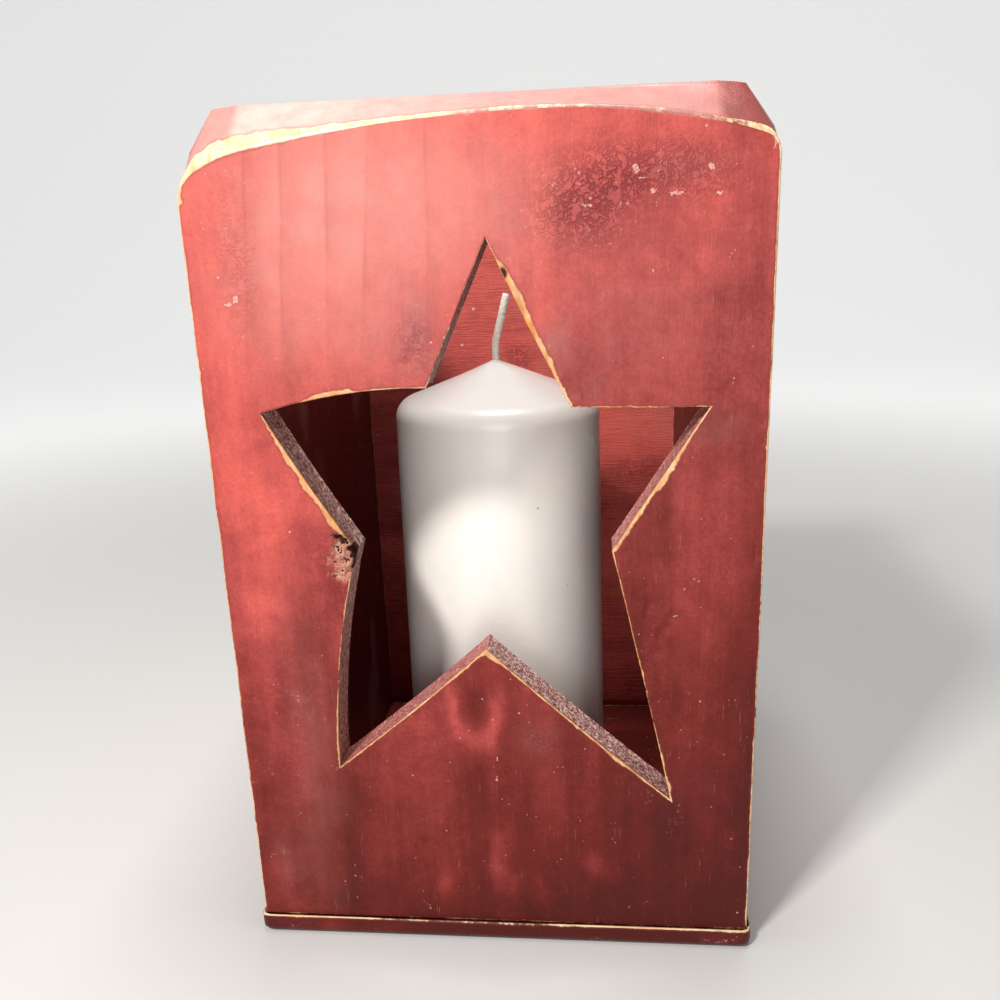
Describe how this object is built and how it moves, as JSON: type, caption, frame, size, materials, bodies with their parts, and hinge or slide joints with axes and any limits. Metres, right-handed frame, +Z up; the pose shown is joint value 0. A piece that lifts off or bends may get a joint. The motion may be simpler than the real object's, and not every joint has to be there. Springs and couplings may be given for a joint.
{
  "type": "candle box",
  "caption": "Open-topped wooden candle box with an arched front, a star cut-out, a base plank and a loose pillar candle.",
  "frame": {"origin": "middle of the underside of the base plank, on the surface that the box stands on", "axes": "+Z up, +X to the right of the front as a viewer sees it, +Y from the star front to the back"},
  "size_m": [0.168, 0.168, 0.269],
  "materials": {
    "painted_wood": "worn red paint under a dark glaze and a satin varnish, rubbed through to bare pine on the edges",
    "steel_nails": "dull",
    "wax": "smooth ivory wax",
    "cotton": "braided cotton"
  },
  "bodies": {
    "box": {"base_board": "painted_wood", "front_board": "painted_wood", "back_board": "painted_wood", "left_side_board": "painted_wood", "right_side_board": "painted_wood", "front_nails": "steel_nails", "back_nails": "steel_nails", "base_nails": "steel_nails"},
    "candle": {"candle": "wax", "wick": "cotton"}
  },
  "joints": [
    {"name": "candle_lift", "type": "slide", "parent": "box", "child": "candle", "axis": [0, 0, 1], "range_m": [0, 0.275]}
  ]
}
